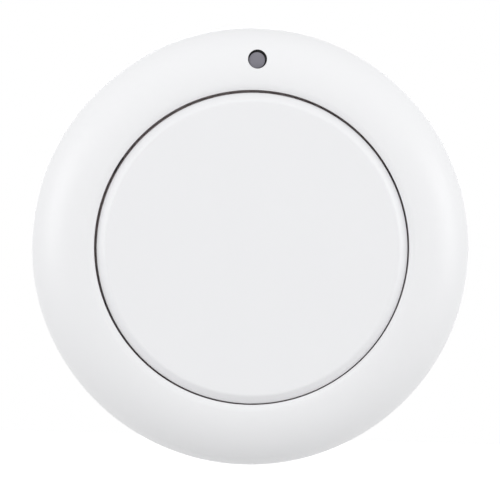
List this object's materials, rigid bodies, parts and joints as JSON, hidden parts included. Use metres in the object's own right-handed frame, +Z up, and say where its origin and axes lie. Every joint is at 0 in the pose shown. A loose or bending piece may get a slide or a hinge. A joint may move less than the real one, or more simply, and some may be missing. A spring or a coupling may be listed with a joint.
{
  "type": "remote control transmitter",
  "caption": "Round white wall transmitter: a domed bezel ring around one large push cap, an indicator window at the top, and a wall plate that the front pulls off.",
  "frame": {"origin": "middle of the wall plate's back face, on the wall", "axes": "+Y into the wall, so the front looks along -Y; +Z up, with the indicator at the top; +X to the right as seen from the front"},
  "size_m": [0.086, 0.0152, 0.086],
  "materials": {
    "case_white": "injection-moulded ABS, satin with a fine moulded grain",
    "cap_white": "injection-moulded ABS, satin, smoother than the ring",
    "plate_white": "injection-moulded ABS, matt back",
    "chassis_white": "injection-moulded ABS, natural white, matt",
    "smoked_lens": "smoked acrylic, flat frosted end",
    "black_plastic": "black nylon, matt",
    "foam": "closed-cell foam strip under a paper liner",
    "board": "glass-fibre board with green solder resist",
    "steel": "zinc-plated steel",
    "spring_steel": "drawn spring wire, nickel-plated",
    "copper": "bare copper wire",
    "battery_jacket": "printed film jacket with bare steel ends",
    "silicone": "soft grey silicone, matt",
    "chip_black": "moulded epoxy with tinned leads",
    "chip_ceramic": "fired ceramic with tinned ends",
    "aluminium": "drawn aluminium can",
    "lamp_white": "moulded chip light, pale yellow"
  },
  "bodies": {
    "wall_plate": {"wall_plate": "plate_white", "adhesive_pads": "foam"},
    "cap": {"push_cap": "cap_white", "pusher_pad": "silicone"},
    "plunger": {"switch_plunger": "black_plastic"},
    "front": {"front_ring": "case_white", "chassis": "chassis_white", "chassis_screws": "steel", "circuit_board": "board", "board_screws": "steel", "switch_base": "black_plastic", "switch_cover": "steel", "switch_terminals": "steel", "switch_dome": "spring_steel", "led_holder": "black_plastic", "light_guide": "smoked_lens", "indicator_led": "lamp_white", "battery": "battery_jacket", "positive_contact": "spring_steel", "negative_contact": "spring_steel", "negative_spring": "spring_steel", "encoder_chip": "chip_black", "resonator_can": "steel", "radio_transistor": "chip_black", "chip_resistors": "chip_black", "chip_capacitors": "chip_ceramic", "electrolytic_capacitor": "aluminium", "tuning_coil": "copper", "antenna_wire": "copper", "return_spring_1": "spring_steel", "return_spring_2": "spring_steel", "return_spring_3": "spring_steel"}
  },
  "joints": [
    {"name": "front_release", "type": "slide", "parent": "wall_plate", "child": "front", "axis": [0, -1, 0], "range_m": [0, 0.02]},
    {"name": "cap_press", "type": "slide", "parent": "front", "child": "cap", "axis": [0, 1, 0], "range_m": [0, 0.0008], "stiffness_N_per_m": 1200, "springref_m": -0.0012, "deforming": ["return_spring_1", "return_spring_2", "return_spring_3"]},
    {"name": "plunger_travel", "type": "slide", "parent": "front", "child": "plunger", "axis": [0, 1, 0], "range_m": [0, 0.0008], "stiffness_N_per_m": 600, "springref_m": -0.0005, "deforming": ["switch_dome"]}
  ],
  "couplings": [
    {"joint": "plunger_travel", "follows": "cap_press", "ratio": 1}
  ]
}
